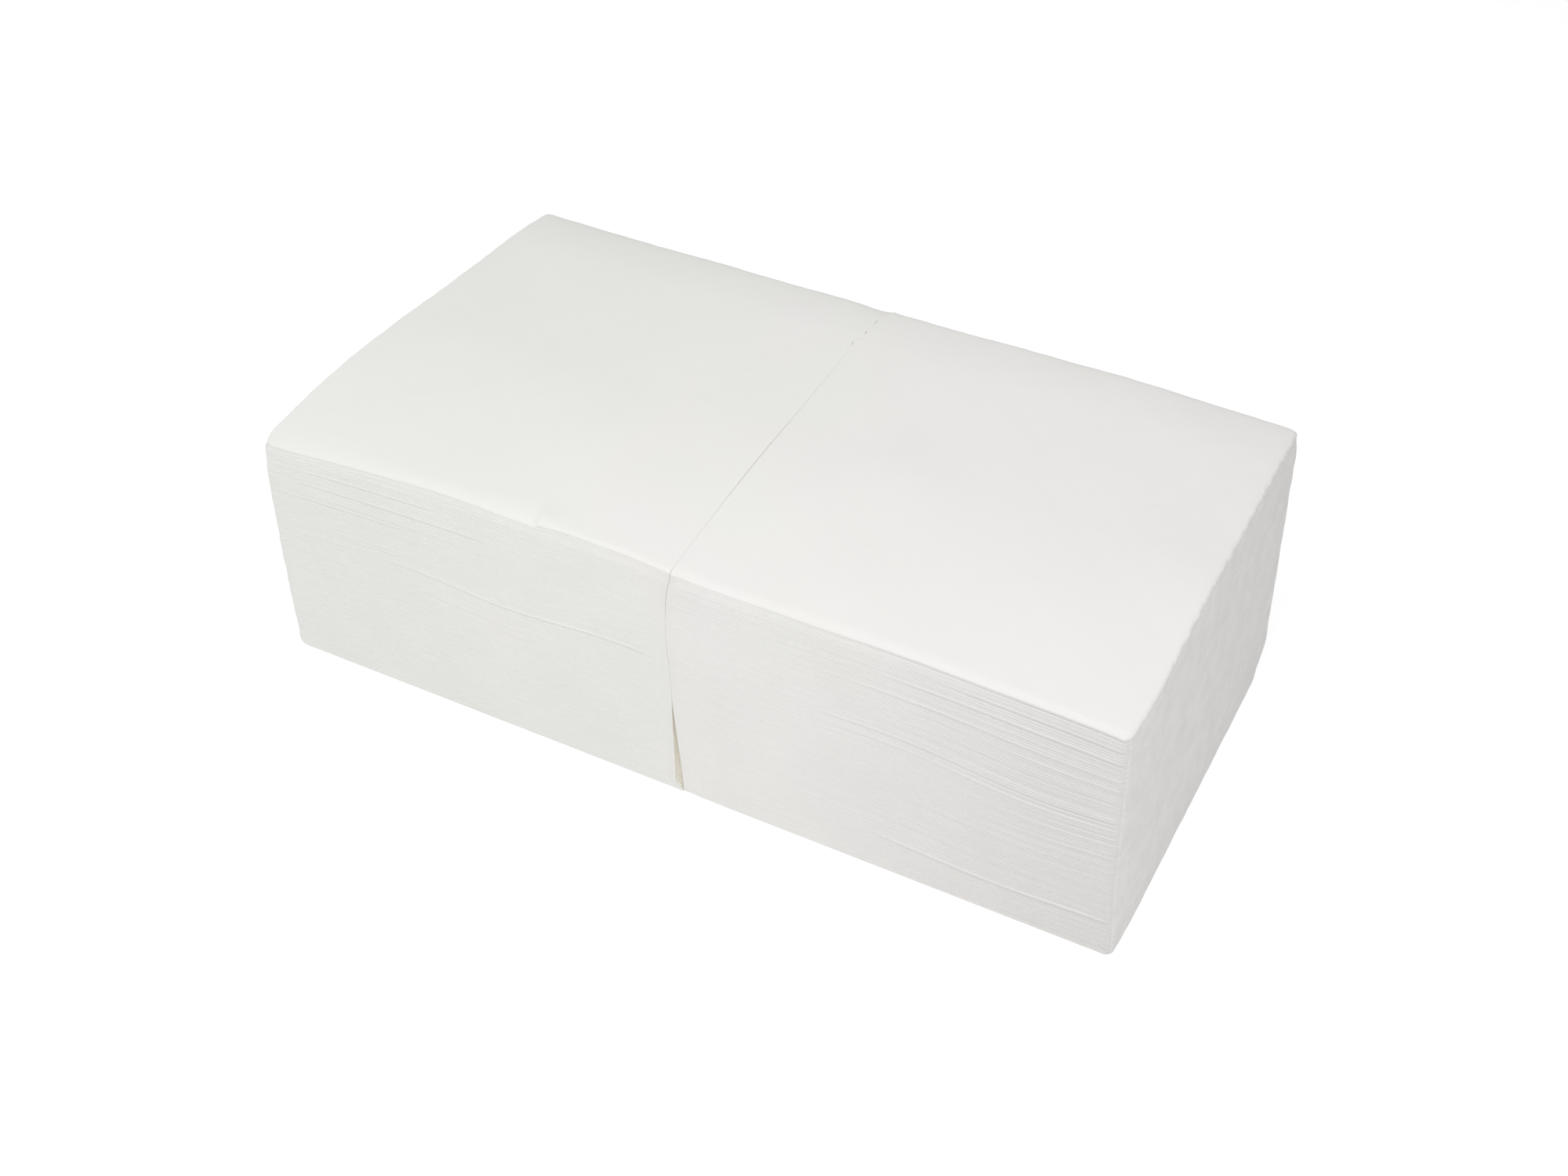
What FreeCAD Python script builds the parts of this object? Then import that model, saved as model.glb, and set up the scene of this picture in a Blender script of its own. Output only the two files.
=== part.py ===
import FreeCAD, Part
import Sketcher
import math
import os

# Two stacks of quarter-folded paper napkins that stand side by side.
# X runs along the long side of the pair, the closed second folds face -Y,
# the first folds face +X, and the stacks stand on z = 0.
# The origin is the middle of the bottom of the box that holds both stacks.

# Driving dimensions in millimetres, and counts.
SIZES = [
    ("folded_side", 165.0, "side of a napkin folded in four"),
    ("leaf_thickness", 0.25, "one leaf of two-ply tissue"),
    ("leaf_clearance", 0.02, "air between two leaves"),
    ("napkin_count", 100, "napkins in each stack"),
    ("group_count", 4, "napkins that share one node"),
    ("shoulder_place", 41.0, "from the middle line to the shoulder where the front drops"),
    ("shoulder_sag", 2.8, "drop of the top surface at the shoulder"),
    ("front_sag", 7.8, "drop of the top surface at the front folds"),
    ("nose_length", 0.5, "rounded end of a closed fold"),
    ("mouth_depth", 5.0, "depth of the open mouth between the halves of a napkin"),
    ("mouth_height", 0.3, "height of that mouth at its edge"),
    ("ridge_step", 0.5, "how far a group of napkins stands out of the one below"),
    ("front_foot", 1.3, "how far the bottom napkin stands further forward than the top one"),
    ("left_flare", 2.4, "left stack, front corner of the top napkin, outwards"),
    ("left_inset", 12.0, "left stack, back corner of the top napkin, inwards"),
    ("right_foot", 0.7, "right stack, bottom napkin, outwards"),
    ("right_inset", 4.0, "right stack, top napkin, inwards"),
    ("seam_clearance", 0.3, "air between the stacks where they touch"),
    ("seam_gap", 3.8, "gap between the stacks at the front, on the table"),
    ("seam_gap_height", 45.0, "height at which that gap has closed"),
]

# Room by which a cutting shape reaches past what it cuts.
OVERCUT = 1.0

doc = FreeCAD.newDocument("napkin_stacks")
sheet = doc.addObject("Spreadsheet::Sheet", "Sizes")
for row, (alias, value, note) in enumerate(SIZES, start=1):
    sheet.set("A%d" % row, alias)
    sheet.set("B%d" % row, str(value))
    sheet.set("C%d" % row, note)
    sheet.setAlias("B%d" % row, alias)
doc.recompute()
size = {alias: float(sheet.get(alias)) for alias, value, note in SIZES}

side = size["folded_side"]
count = int(size["napkin_count"])
group = int(size["group_count"])
napkin_thickness = 4 * size["leaf_thickness"] + 3 * size["leaf_clearance"]
stack_height = count * napkin_thickness

# Places behind the middle line of a stack.
BACK = side / 2
MIDDLE = 0.0
SHOULDER = -size["shoulder_place"]
FRONT = -side / 2

# The box that holds both stacks is centred on the origin.
seam_x = (size["left_flare"] - size["right_foot"]) / 2
middle_y = (size["front_foot"] - size["ridge_step"]) / 2


def sag(y):
    """Drop of the top surface of a stack at the place y behind its middle line."""
    if y >= MIDDLE:
        return 0.0
    if y >= SHOULDER:
        return size["shoulder_sag"] * y / SHOULDER
    slope = (size["front_sag"] - size["shoulder_sag"]) / (SHOULDER - FRONT)
    return size["shoulder_sag"] + slope * (SHOULDER - y)


def level_height(level, y):
    """Height of the face between napkins number level and level + 1, from the table up."""
    return level / count * (stack_height - sag(y))


def forward_shift(level):
    """Place of a napkin along Y: the foot stands forward, and the groups step in and out."""
    foot = size["front_foot"] * (1 - (level + 0.5) / count)
    step = size["ridge_step"] * math.sin(2.4 * (level // group)) ** 2
    return step - foot


def napkin_section(level):
    """Outline of one folded napkin, as points (y, z): nose at the front, mouth at the back."""
    shift = forward_shift(level)
    back = BACK + shift
    front = FRONT + shift
    nose = front + size["nose_length"]
    low = [(y, level_height(level, y)) for y in (back, MIDDLE, SHOULDER, nose)]
    high = [(y, level_height(level + 1, y)) for y in (nose, SHOULDER, MIDDLE, back)]
    nose_low = low[-1][1]
    nose_high = high[0][1]
    tip = [(front, nose_low + (nose_high - nose_low) * part) for part in (0.3, 0.7)]
    centre = (low[0][1] + high[-1][1]) / 2
    half_mouth = size["mouth_height"] / 2
    mouth = [
        (back, centre + half_mouth),
        (back - size["mouth_depth"], centre),
        (back, centre - half_mouth),
    ]
    return low + tip + high + mouth


def napkin_outline(stack, level):
    """Outline of one napkin from above, as the points (x, y) of its four corners."""
    share = (level + 0.5) / count
    wedge = max(0.0, 1 - level * napkin_thickness / size["seam_gap_height"])
    inner_back = size["seam_clearance"] / 2
    inner_front = inner_back + size["seam_gap"] / 2 * wedge
    if stack == "left":
        outer_front = side + size["left_flare"] * share
        outer_back = side - size["left_inset"] * share
        away = -1
    else:
        outer_front = side + size["right_foot"] * (1 - share) - size["right_inset"] * share
        outer_back = outer_front
        away = 1
    front = FRONT - size["front_foot"]
    back = BACK + size["ridge_step"]
    corners = [(inner_front, front), (outer_front, front), (outer_back, back), (inner_back, back)]
    return [(seam_x + away * x, y) for x, y in corners]


def polygon_face(points):
    return Part.Face(Part.makePolygon(points + points[:1]))


def napkin(stack, level):
    """One folded napkin: its section run along X and trimmed to its outline."""
    reach = side + size["left_flare"] + OVERCUT
    section = [FreeCAD.Vector(seam_x - reach, y + middle_y, z) for y, z in napkin_section(level)]
    outline = [FreeCAD.Vector(x, y + middle_y, -OVERCUT) for x, y in napkin_outline(stack, level)]
    run = polygon_face(section).extrude(FreeCAD.Vector(2 * reach, 0, 0))
    trim = polygon_face(outline).extrude(FreeCAD.Vector(0, 0, stack_height + 2 * OVERCUT))
    return run.common(trim).Solids[0]


def napkin_group(stack, number):
    """The node that holds the napkins of one group as separate solids."""
    first = number * group
    levels = range(first, min(first + group, count - 1))
    node = doc.addObject("Part::Feature", "%s_group_%02d" % (stack, number + 1))
    node.Label = "%s_napkins_%02d" % (stack, number + 1)
    node.Shape = Part.makeCompound([napkin(stack, level) for level in levels])
    return node


# The napkin on top of each stack, with all four leaves.
# Its sketches are on the YZ plane at its open side, where x = 0, and its first fold is at the
# other end. Heights are counted from its underside at the middle line.
HALF = "(Sizes.folded_side / 2)"
LEAF = "Sizes.leaf_thickness"
AIR = "Sizes.leaf_clearance"
KEPT = "((Sizes.napkin_count - 1) / Sizes.napkin_count)"
SPREAD = "((Sizes.front_sag - Sizes.shoulder_sag) / (%s - Sizes.shoulder_place))" % HALF
THICKNESS = "(4 * %s + 3 * %s)" % (LEAF, AIR)


def leaf_line(height, reach, back=HALF):
    """A line that follows the sagging top of the stack, as expressions for its points (y, z).
    It runs from the back edge to the distance reach in front of the middle line."""
    front_drop = "%s * (Sizes.shoulder_sag + %s * (%s - Sizes.shoulder_place))" % (
        KEPT, SPREAD, reach)
    return [
        (back, height),
        ("0", height),
        ("-Sizes.shoulder_place", "%s - %s * Sizes.shoulder_sag" % (height, KEPT)),
        ("-(%s)" % reach, "%s - %s" % (height, front_drop)),
    ]


def bound_sketch(body, name, plane, points):
    """A closed outline in a sketch, each corner bound to the expressions of its coordinates."""
    sketch = body.newObject("Sketcher::SketchObject", name)
    planes = [part for part in body.Origin.OriginFeatures if part.Role == plane]
    sketch.AttachmentSupport = [(planes[0], "")]
    sketch.MapMode = "FlatFace"
    values = [[float(body.evalExpression(text)) for text in point] for point in points]
    corners = [FreeCAD.Vector(across, up, 0) for across, up in values]
    for start, end in zip(corners, corners[1:] + corners[:1]):
        sketch.addGeometry(Part.LineSegment(start, end))
    for index in range(len(points)):
        following = (index + 1) % len(points)
        sketch.addConstraint(Sketcher.Constraint("Coincident", index, 2, following, 1))
    for index, (point, value) in enumerate(zip(points, values)):
        for kind, text, number in zip(("DistanceX", "DistanceY"), point, value):
            place = sketch.addConstraint(Sketcher.Constraint(kind, -1, 1, index, 1, number))
            sketch.setExpression("Constraints[%d]" % place, text)
    return sketch


def top_section():
    """Section of the top napkin: closed nose at the front, mouth between its halves behind."""
    under_mouth = "2 * %s + %s" % (LEAF, AIR)
    over_mouth = "2 * %s + 2 * %s" % (LEAF, AIR)
    mouth_reach = "%s - %s" % (HALF, under_mouth)
    nose_reach = "%s - Sizes.nose_length" % HALF
    low = leaf_line("0", nose_reach)
    high = leaf_line(THICKNESS, nose_reach)
    tip = [("-%s" % HALF, "%s + %s * %g" % (low[-1][1], THICKNESS, part)) for part in (0.3, 0.7)]
    mouth = leaf_line(over_mouth, mouth_reach) + leaf_line(under_mouth, mouth_reach)[::-1]
    return low + tip + high[::-1] + mouth


def leaf_slit():
    """The air between the outer leaf and the inner one, which the second fold carries round."""
    behind = "%s + %g" % (HALF, OVERCUT)
    outer = "%s - %s" % (HALF, LEAF)
    inner = "%s - %s - %s" % (HALF, LEAF, AIR)
    low_outer = leaf_line(LEAF, outer, behind)
    high_outer = leaf_line("3 * %s + 3 * %s" % (LEAF, AIR), outer, behind)
    high_inner = leaf_line("3 * %s + 2 * %s" % (LEAF, AIR), inner, behind)
    low_inner = leaf_line("%s + %s" % (LEAF, AIR), inner, behind)
    return low_outer + high_outer[::-1] + high_inner + low_inner[::-1]


def top_napkin(stack, width, open_end, skew):
    """The quarter-folded napkin on a stack. open_end is the x of its cut edges, skew is how
    far their back corner stands in from the front one."""
    body = doc.addObject("PartDesign::Body", "%s_top" % stack)
    body.Label = "%s_top_napkin" % stack
    body.setExpression("Placement.Base.x", open_end)
    body.setExpression("Placement.Base.y", "(Sizes.front_foot - Sizes.ridge_step) / 2")
    body.setExpression("Placement.Base.z", "(Sizes.napkin_count - 1) * %s" % THICKNESS)

    leaves = body.newObject("PartDesign::Pad", "%s_leaves" % stack)
    leaves.Profile = bound_sketch(body, "%s_section" % stack, "YZ_Plane", top_section())
    leaves.setExpression("Length", width)
    doc.recompute()

    slit = body.newObject("PartDesign::Pocket", "%s_slit" % stack)
    slit.Profile = bound_sketch(body, "%s_slit_outline" % stack, "YZ_Plane", leaf_slit())
    slit.Reversed = True
    slit.setExpression("Length", "%s - %s" % (width, LEAF))
    doc.recompute()
    check_cut(leaves, slit)

    if skew:
        corner = [
            ("0", "-%s - %g" % (HALF, OVERCUT)),
            (skew, "%s + %g" % (HALF, OVERCUT)),
            ("-%g" % OVERCUT, "%s + %g" % (HALF, OVERCUT)),
            ("-%g" % OVERCUT, "-%s - %g" % (HALF, OVERCUT)),
        ]
        trim = body.newObject("PartDesign::Pocket", "%s_trim" % stack)
        trim.Profile = bound_sketch(body, "%s_trim_outline" % stack, "XY_Plane", corner)
        trim.Type = "ThroughAll"
        trim.SideType = "Symmetric"
        doc.recompute()
        check_cut(slit, trim)
    return body


def check_cut(before, after):
    if not after.Shape.Volume < before.Shape.Volume:
        raise RuntimeError("%s cuts nothing" % after.Name)


def check_objects():
    for item in doc.Objects:
        if "Invalid" in item.State or "Error" in item.State:
            raise RuntimeError("%s failed: %s" % (item.Name, item.State))


def check_sub_part(node):
    shape = node.Shape
    if shape.isNull() or not shape.isValid() or not shape.Solids:
        raise RuntimeError("%s has no valid shape" % node.Label)


sub_parts = []
for stack in ("left", "right"):
    for number in range(math.ceil((count - 1) / group)):
        sub_parts.append(napkin_group(stack, number))

# The seam stands at half the difference between the two outer overhangs.
SEAM = "((Sizes.left_flare - Sizes.right_foot) / 2)"
LEFT_WIDTH = "(Sizes.folded_side + Sizes.left_flare - Sizes.seam_clearance / 2)"
RIGHT_WIDTH = "(Sizes.folded_side - Sizes.right_inset - Sizes.seam_clearance / 2)"
sub_parts.append(top_napkin(
    "left", LEFT_WIDTH, "%s - Sizes.folded_side - Sizes.left_flare" % SEAM,
    "Sizes.left_flare + Sizes.left_inset"))
sub_parts.append(top_napkin(
    "right", RIGHT_WIDTH, "%s + Sizes.seam_clearance / 2" % SEAM, None))

doc.recompute()
check_objects()
for node in sub_parts:
    check_sub_part(node)

os.makedirs("parts", exist_ok=True)
for node in sub_parts:
    node.Shape.exportStep("parts/%s.step" % node.Label)
print("napkins", sum(len(node.Shape.Solids) for node in sub_parts), "nodes", len(sub_parts))
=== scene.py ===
import bpy
import math
import numpy as np
from mathutils import Matrix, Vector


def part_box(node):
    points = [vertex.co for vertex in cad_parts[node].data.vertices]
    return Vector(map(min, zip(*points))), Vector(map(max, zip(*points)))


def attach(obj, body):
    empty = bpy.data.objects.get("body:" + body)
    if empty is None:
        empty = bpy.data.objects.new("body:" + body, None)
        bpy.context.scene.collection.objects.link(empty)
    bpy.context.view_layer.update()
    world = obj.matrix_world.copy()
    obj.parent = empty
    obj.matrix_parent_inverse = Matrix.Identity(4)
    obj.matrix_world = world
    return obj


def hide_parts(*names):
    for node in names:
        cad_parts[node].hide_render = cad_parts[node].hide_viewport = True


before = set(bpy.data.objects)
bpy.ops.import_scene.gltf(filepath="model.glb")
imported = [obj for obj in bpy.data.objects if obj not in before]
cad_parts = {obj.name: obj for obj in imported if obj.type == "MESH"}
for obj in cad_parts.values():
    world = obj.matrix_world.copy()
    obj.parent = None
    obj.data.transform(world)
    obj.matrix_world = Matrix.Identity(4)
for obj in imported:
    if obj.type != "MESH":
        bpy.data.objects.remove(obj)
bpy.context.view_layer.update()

# Lengths are millimetres in the code and metres in the meshes. x is measured from the seam
# between the stacks, y from their middle line, positive to the back, and z from the table.
MM = 0.001
SIDE = 165.0
NAPKINS = 100
GROUP = 4
SEAM_X = 0.85
MIDDLE_Y = 0.4
STACK_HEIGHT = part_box("left_top_napkin")[1][2] / MM
STACKS = ("left", "right")

# The camera that took the photograph, fitted to the edges of the stacks.
CAMERA_AZIMUTH = math.radians(26.90)
CAMERA_ELEVATION = math.radians(40.05)
CAMERA_ROLL = math.radians(0.82)
CAMERA_DISTANCE = 788.0
CAMERA_ACROSS = 0.76
CAMERA_UP = 23.99
SENSOR_WIDTH = 36.0
LENS = 47.04


def smooth(value, start, end):
    """Rises softly from 0 at start to 1 at end."""
    part = np.clip((value - start) / (end - start), 0.0, 1.0)
    return part * part * (3.0 - 2.0 * part)


def hump(value, middle, width):
    """1 at the middle, and falls softly to 0 on both sides."""
    return np.exp(-((value - middle) / width) ** 2)


class Ripples:
    """Smooth seeded noise over a surface, a sum of plane waves whose lengths along u and v
    lie in the given ranges. Its spread is about 1."""

    def __init__(self, seed, along_u, along_v, count=9):
        random = np.random.default_rng(seed)
        self.u = 1.0 / random.uniform(*along_u, count)
        self.v = random.choice((-1.0, 1.0), count) / random.uniform(*along_v, count)
        self.start = random.uniform(0.0, 1.0, count)

    def __call__(self, u, v):
        total = 0.0
        for u_rate, v_rate, start in zip(self.u, self.v, self.start):
            total = total + np.sin(2.0 * math.pi * (u * u_rate + v * v_rate + start))
        return total * math.sqrt(2.0 / len(self.u))


# Form of a stack, from the photograph. The front folds are pressed thinner than the middle,
# most of all at the outer corners, the top swells a little to the back, and the top sheets
# roll over at their edges. A _WIDTH is the half width of a hump, in millimetres.
FRONT_SAG = {"left": 4.95, "right": 7.4}
FRONT_RISE = {"left": 0.0, "right": 2.2}
SEAM_SAG = 6.4
SEAM_SAG_WIDTH = 11.0
SAG_POWER = 1.59
CORNER_SAG = {"left": 6.2, "right": 4.9}
BACK_RISE = 5.5
BACK_SWELL = 0.9
BACK_SWELL_X = 95.0
BACK_SWELL_WIDTH = 50.0
BACK_CORNER_SAG = {"left": -0.4, "right": 1.8}
CORNER_POWER = 3
PAST_EDGE = 1.05
BACK_ROUND_START = 54.0
BACK_ROUND_DEPTH = 3.2
BACK_ROUND_END = 1.1
FRONT_FOOT = 0.8
LEFT_FOOT = 3.0
LEFT_BULGE = 0.8
LEFT_FLARE = 1.8
LEFT_INSET = 13.0
RIGHT_FOOT = 0.7
RIGHT_INSET = 3.6
SEAM_CLEARANCE = 0.03
SEAM_PARTING = 0.12
PARTING_Y = -20.0
PARTING_WIDTH = 28.0
SEAM_LIP = 0.12
SEAM_LIP_DEPTH = 1.8
SEAM_GAP = 3.5
SEAM_GAP_HEIGHT = 45.0
SEAM_GAP_FOOT = 6.0
SEAM_GAP_DEPTH = 5.0
FOOT_LIFT = 0.8
BACK_CORNER_FALL = 0.8
SIDE_BEND = 1.8
SIDE_BEND_REACH = 24.0
ROLL_SHARE = 0.93

# Reach and depth of the roll of the top sheet over each edge.
FRONT_ROLL = {"left": (5.5, 1.8), "right": (4.1, 1.6)}
BACK_ROLL = (5.0, 0.8)
OUTER_ROLL = {"left": (4.5, 1.4), "right": (4.6, 1.8)}
INNER_ROLL = (0.5, 0.2)


def backward(y):
    """Share of the way from the front edge to the back edge."""
    return np.clip(0.5 + y / SIDE, 0.0, 1.0)


def crown(stack, x, y):
    """Height of the top of a stack, before its edges roll over."""
    half = SIDE / 2
    place = np.clip(np.abs(y) / half, 0.0, PAST_EDGE) ** SAG_POWER
    outward = np.clip(np.abs(x) / SIDE, 0.0, PAST_EDGE)
    corner = outward ** CORNER_POWER
    sag = FRONT_SAG[stack] - FRONT_RISE[stack] * outward + CORNER_SAG[stack] * corner
    sag = sag + (SEAM_SAG - FRONT_SAG[stack]) * hump(x, 0.0, SEAM_SAG_WIDTH)
    rise = BACK_RISE + BACK_SWELL * hump(x, BACK_SWELL_X, BACK_SWELL_WIDTH)
    rise = rise - BACK_CORNER_SAG[stack] * corner
    rounding = (y - BACK_ROUND_START) / (half - BACK_ROUND_START)
    drop = BACK_ROUND_DEPTH * np.clip(rounding, 0.0, BACK_ROUND_END) ** 2
    return STACK_HEIGHT + place * np.where(y < 0.0, -sag, rise) - drop


# How far the seam leans to the right: at the foot in a curve and in a slant that both end at
# a share of the height, at the shoulder to the left, at the top, and behind.
FOOT_CURVE, FOOT_CURVE_TOP = 2.1, 0.45
FOOT_SLANT, FOOT_SLANT_TOP = 1.8, 0.42
SHOULDER_LEAN, SHOULDER_SHARE, SHOULDER_REACH = 1.9, 0.76, 0.2
TOP_LEAN, TOP_LEAN_START = 1.0, 0.88
BACK_LEAN, BACK_LEAN_START, BACK_LEAN_END = 2.4, 50.0, 82.0
WAVER, WAVER_START, WAVER_END = 0.45, 44.0, 62.0
seam_ripples = Ripples(3, (6.0, 25.0), (15.0, 60.0), 5)


def seam_line(share, y):
    """Where the two stacks meet. It leans to and fro up the front, and wavers behind."""
    curve = FOOT_CURVE * (1.0 - smooth(share, 0.0, FOOT_CURVE_TOP))
    slant = FOOT_SLANT * np.clip(1.0 - share / FOOT_SLANT_TOP, 0.0, 1.0)
    shoulder = SHOULDER_LEAN * hump(share, SHOULDER_SHARE, SHOULDER_REACH)
    front = curve + slant - shoulder + TOP_LEAN * smooth(share, TOP_LEAN_START, 1.0)
    behind = BACK_LEAN * share * smooth(y, BACK_LEAN_START, BACK_LEAN_END)
    waver = WAVER * smooth(y, WAVER_START, WAVER_END) * seam_ripples(y, share * STACK_HEIGHT)
    return front * (1.0 - backward(y)) + behind + waver


def ends(stack, share, y):
    """The x of a napkin's left and right ends, at a share of the stack's height."""
    behind = y + SIDE / 2
    height = share * STACK_HEIGHT
    opening = np.clip(1.0 - height / SEAM_GAP_HEIGHT, 0.0, 1.0)
    opening = opening * smooth(height, -1.0, SEAM_GAP_FOOT)
    gap = SEAM_GAP * opening * np.clip(1.0 - behind / SEAM_GAP_DEPTH, 0.0, 1.0) ** 1.8
    lip = SEAM_LIP * smooth(share, 0.72, 0.9) * (1.0 - smooth(behind, 0.0, SEAM_LIP_DEPTH))
    parting = SEAM_PARTING * smooth(share, 0.85, 1.0) * hump(y, PARTING_Y, PARTING_WIDTH)
    setback = (SEAM_CLEARANCE + parting + lip) / 2
    seam = seam_line(share, y)
    if stack == "left":
        skew = LEFT_FLARE - (LEFT_FLARE + LEFT_INSET) * backward(y)
        foot = (LEFT_FOOT + 4.0 * LEFT_BULGE * share * (1.0 - share)) * (1.0 - backward(y))
        return -SIDE - foot - share * skew, seam - setback - gap
    bend = SIDE_BEND * np.clip(1.0 - behind / SIDE_BEND_REACH, 0.0, 1.0) ** 2
    bend = bend * (0.4 + 0.6 * smooth(share, 0.0, 0.35))
    return seam + setback, SIDE + RIGHT_FOOT * (1.0 - share) - RIGHT_INSET * share - bend


def depths(share):
    """The y of a napkin's front and back edges."""
    shift = -FRONT_FOOT * (1.0 - share)
    return -SIDE / 2 + shift, SIDE / 2 + shift


# The kink in the front edge of the left stack's top napkin, and the flap behind it.
KINK_X = -51.6
KINK_SHARPNESS = 0.8
KINK_REACH, KINK_DEPTH, KINK_WIDTH = 5.5, 1.4, 20.0
FLAT_REACH, FLAT_DEPTH, FLAT_LENGTH = 3.0, 1.2, 13.0
FLAT_END_DEPTH, FLAT_END_LENGTH = 0.6, 22.0
OUTER_REACH, OUTER_DEPTH = 5.5, 0.4
OUTER_NARROWING = 0.33
FLAP_HEIGHT = 0.7
FLAP_LENGTH = 11.0
FLAP_SLANT = 0.2


def front_roll(stack, x):
    """Reach and depth of the front roll. The left stack's is wide at the outer end and up to
    the kink, and narrow and flat beyond it. The right stack's narrows to its outer end."""
    reach, depth = FRONT_ROLL[stack]
    if stack == "right":
        return reach * (1.0 - OUTER_NARROWING * smooth(x, 90.0, 150.0)), depth
    outer = smooth(-x, 100.0, 150.0)
    beyond = smooth(x, KINK_X - KINK_SHARPNESS, KINK_X + KINK_SHARPNESS)
    swell = hump(x, KINK_X, KINK_WIDTH) * (1.0 - beyond)
    flat_end = KINK_X + FLAT_LENGTH
    flat = FLAT_DEPTH * smooth(x, KINK_X, flat_end)
    flat = flat - FLAT_END_DEPTH * smooth(x, flat_end, flat_end + FLAT_END_LENGTH)
    reach = reach + OUTER_REACH * outer + KINK_REACH * swell - FLAT_REACH * beyond
    return reach, depth + OUTER_DEPTH * outer + KINK_DEPTH * swell - flat


def roll(distance, reach, depth):
    """Drop of the top sheet at a distance from an edge that it rolls over."""
    part = np.clip(1.0 - distance / reach, 0.0, 1.0)
    return depth * (1.0 - np.sqrt(np.maximum(0.0, 1.0 - 0.96 * part * part)))


def edge_drop(stack, share, x, y):
    """How far the uppermost sheets drop as they roll over the edges of their stack."""
    left, right = ends(stack, share, y)
    front, back = depths(share)
    outer, inner = (x - left, right - x) if stack == "left" else (right - x, x - left)
    drop = roll(y - front, *front_roll(stack, x))
    drop = drop + roll(back - y, *BACK_ROLL)
    drop = drop + roll(outer, *OUTER_ROLL[stack]) + roll(inner, *INNER_ROLL)
    return drop * smooth(share, ROLL_SHARE, 1.0)


def flap(x, y):
    """Height of the flap of paper that stands up on the right of the kink."""
    behind = y + SIDE / 2
    beside = x - KINK_X + FLAP_SLANT * behind
    steep = smooth(beside, -0.7, 0.7) * np.exp(-np.clip(beside, 0.0, 60.0) / FLAP_LENGTH)
    return FLAP_HEIGHT * steep * hump(behind, 4.0, 5.0)


# Layers dip along the front, and less so behind it: stack, x, width and lift.
LAYER_BENDS = [
    ("left", -68.0, 36.0, -1.8),
    ("right", 129.0, 32.0, -2.6),
]
BEND_DEPTH = 45.0
LAYER_WAVE = 0.35
layer_ripples = {
    "left": Ripples(11, (70.0, 220.0), (60.0, 160.0)),
    "right": Ripples(12, (70.0, 220.0), (60.0, 160.0)),
}


def layer_lift(stack, share, x, y):
    """How far the layers inside a stack rise or dip from their even places."""
    inside = smooth(share, 0.0, 0.13) * (1.0 - smooth(share, 0.7, 0.97))
    lift = LAYER_WAVE * layer_ripples[stack](x + 0.7 * y, y + share * STACK_HEIGHT)
    for bent, place, width, height in LAYER_BENDS:
        if bent == stack:
            lift = lift + height * hump(x, place, width) * hump(y, -SIDE / 2, BEND_DEPTH)
    return inside * lift


TOP_WAVE = 0.14
FINE_WAVE = 0.022
top_ripples = {
    "left": Ripples(21, (45.0, 120.0), (45.0, 120.0)),
    "right": Ripples(22, (45.0, 120.0), (45.0, 120.0)),
}
fine_ripples = {
    "left": Ripples(23, (9.0, 26.0), (9.0, 26.0)),
    "right": Ripples(24, (9.0, 26.0), (9.0, 26.0)),
}


def surface(stack, share, x, y):
    """Height of the layer at a share of the stack's height."""
    height = share * crown(stack, x, y) + layer_lift(stack, share, x, y)
    height = height - edge_drop(stack, share, x, y)
    loose = smooth(share, 0.9, 1.0) * smooth(np.abs(x - seam_line(share, y)), 0.0, 30.0)
    waves = TOP_WAVE * top_ripples[stack](x, y) + FINE_WAVE * fine_ripples[stack](x, y)
    height = height + loose * waves
    if stack == "right":
        lifted = hump(x, 0.0, 13.0) * hump(y, -SIDE / 2, 13.0)
        height = height + FOOT_LIFT * lifted * (1.0 - smooth(share, 0.0, 0.3))
    if stack == "left":
        height = height + smooth(share, 0.975, 1.0) * flap(x, y)
        fallen = hump(x, -2.0, 7.0) * hump(y, SIDE / 2 + 2.0, 6.0)
        height = height - BACK_CORNER_FALL * fallen * smooth(share, 0.9, 1.0)
    return height


# The outline of a napkin from above. Its columns run from the front left corner to the right,
# round the back and home, closer together where the photograph looks at them. The corners'
# radii start at the front left one and go round the same way.
CORNER_RADII = {"left": (5.5, 0.2, 1.0, 3.0), "right": (0.2, 2.6, 2.0, 1.0)}
CORNER_STEPS = 5
SEAM_CROWDING = 1.5
SPACING = {
    "left": {"front": 3.3, "right": 3.2, "back": 4.0, "left": 3.0},
    "right": {"front": 3.3, "right": 1.6, "back": 4.0, "left": 5.0},
}


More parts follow.
